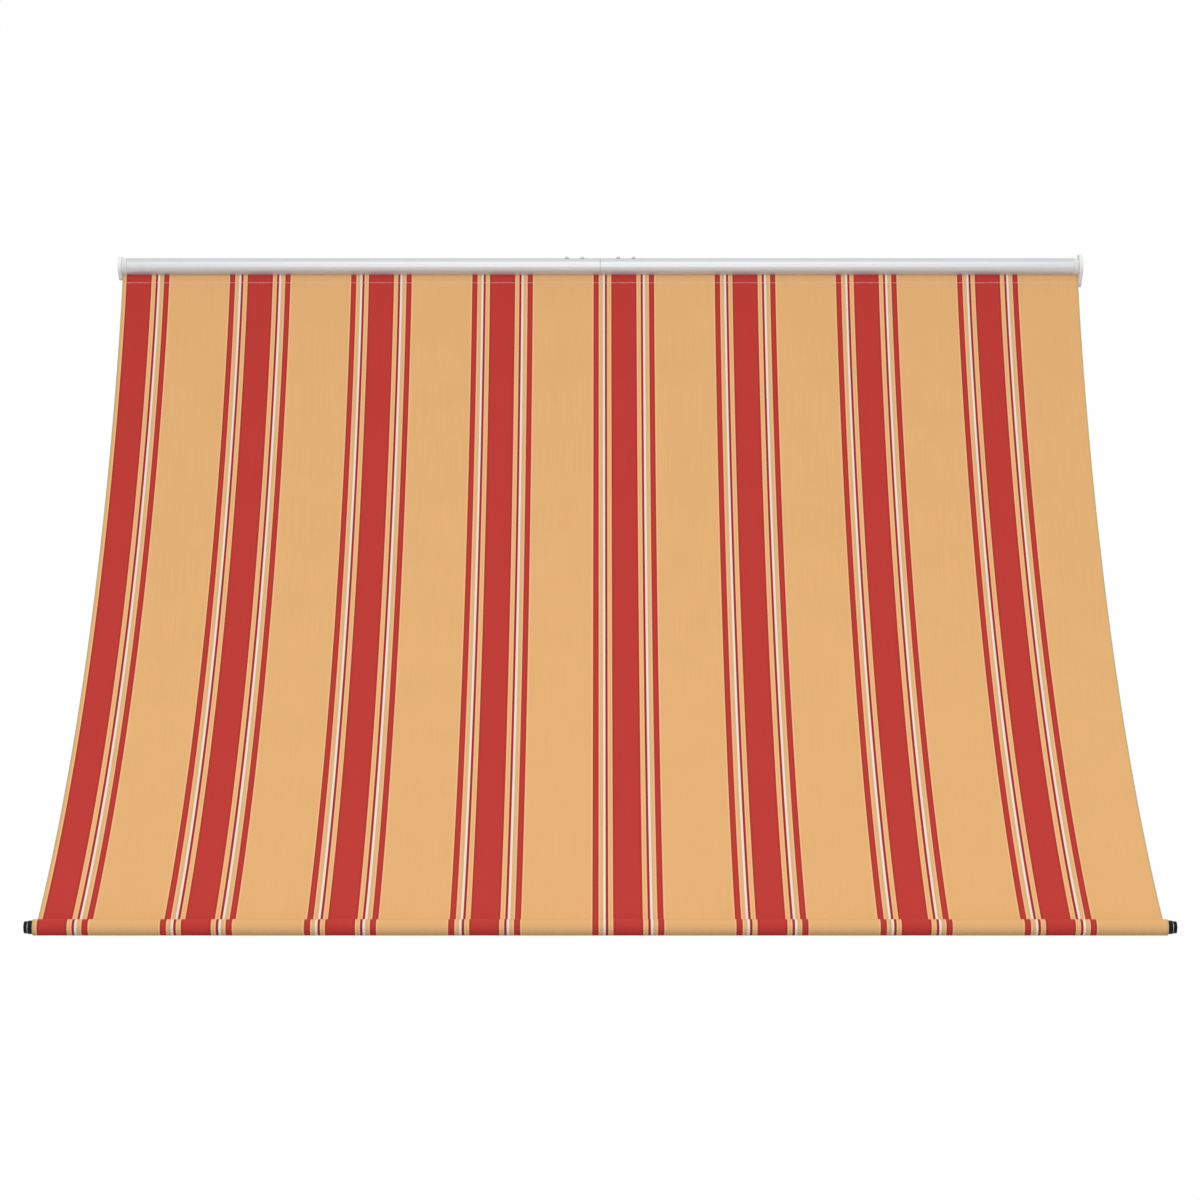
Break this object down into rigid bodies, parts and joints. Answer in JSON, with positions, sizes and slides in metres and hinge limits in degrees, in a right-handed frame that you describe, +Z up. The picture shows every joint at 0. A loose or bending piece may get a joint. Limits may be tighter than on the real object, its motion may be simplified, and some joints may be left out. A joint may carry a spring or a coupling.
{
  "type": "fabric awning",
  "caption": "Striped fabric awning cloth hanging slack from a silvery wall rail with white end caps to a cloth-covered roller with black end plugs, without arms, brackets or wall",
  "frame": {"origin": "on the wall's plane, at the seam between the rail's halves, at the height of the rail's axis", "axes": "+X to the right along the rail for a viewer in front of the awning, +Y into the wall, +Z up"},
  "size_m": [3.0246, 1.8886, 1.5335],
  "materials": {
    "rail_paint": "silvery white satin coat on aluminium",
    "cap_plastic": "white, moulded, half gloss",
    "screw_steel": "zinc plated",
    "joiner_aluminium": "extruded, bare",
    "awning_cloth": "woven awning cloth, orange yellow with red, cream, khaki, white and maroon stripes",
    "welt_plastic": "plain rod",
    "tube_steel": "galvanised",
    "black_plastic": "moulded, glossy black",
    "bush_iron": "sintered iron, smooth and oiled",
    "pin_steel": "ground",
    "spring_steel": "oiled, dark"
  },
  "bodies": {
    "awning_frame": {"rail_left": "rail_paint", "rail_right": "rail_paint", "rail_joiner": "joiner_aluminium", "joint_screw_1": "screw_steel", "joint_screw_2": "screw_steel", "joint_screw_3": "screw_steel", "joint_screw_4": "screw_steel", "end_cap_left": "cap_plastic", "end_cap_right": "cap_plastic", "cap_screw_left_upper": "screw_steel", "cap_screw_left_lower": "screw_steel", "cap_screw_right_upper": "screw_steel", "cap_screw_right_lower": "screw_steel", "welt_rod_top": "welt_plastic", "cloth_span": "awning_cloth", "axle_pin_left": "pin_steel", "axle_pin_right": "pin_steel", "retaining_ring_left": "spring_steel", "retaining_ring_right": "spring_steel", "bearing_hub_left": "black_plastic", "bearing_hub_right": "black_plastic"},
    "roller": {"roller_tube": "tube_steel", "cloth_turns": "awning_cloth", "welt_rod_bottom": "welt_plastic", "roller_plug_left": "black_plastic", "roller_plug_right": "black_plastic", "bearing_bush_left": "bush_iron", "bearing_bush_right": "bush_iron"}
  },
  "joints": [
    {"name": "roller_spin", "type": "hinge", "parent": "awning_frame", "child": "roller", "pos_m": [0, -1.867, -1.472], "axis": [-1, 0, 0], "range_deg": [-1620, 5400]}
  ]
}
